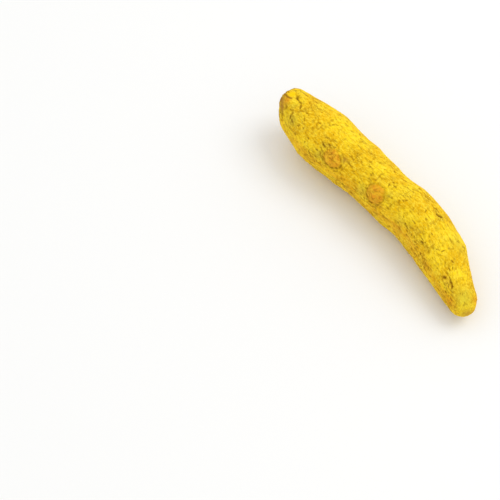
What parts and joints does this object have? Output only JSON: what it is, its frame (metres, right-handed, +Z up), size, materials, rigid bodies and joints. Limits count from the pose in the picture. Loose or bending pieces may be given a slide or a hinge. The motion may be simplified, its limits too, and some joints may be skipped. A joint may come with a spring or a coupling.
{
  "type": "turmeric root",
  "caption": "Dried, polished turmeric finger: a bent, tapering rhizome branch with a slanted broken end, round bud scars and a blunt tip, lying on its side.",
  "frame": {"origin": "under the middle of the bounding box, on the surface the finger lies on", "axes": "+Z up; +X along the finger's length, from the broken end to the growing tip; +Y towards the outside of its bend"},
  "size_m": [0.0736, 0.0184, 0.0151],
  "materials": {
    "turmeric_skin": "matt, dusted with its own golden-yellow powder, with darker brown in the wrinkles, pits and scars"
  },
  "bodies": {
    "root": {"turmeric_finger": "turmeric_skin"}
  },
  "joints": []
}
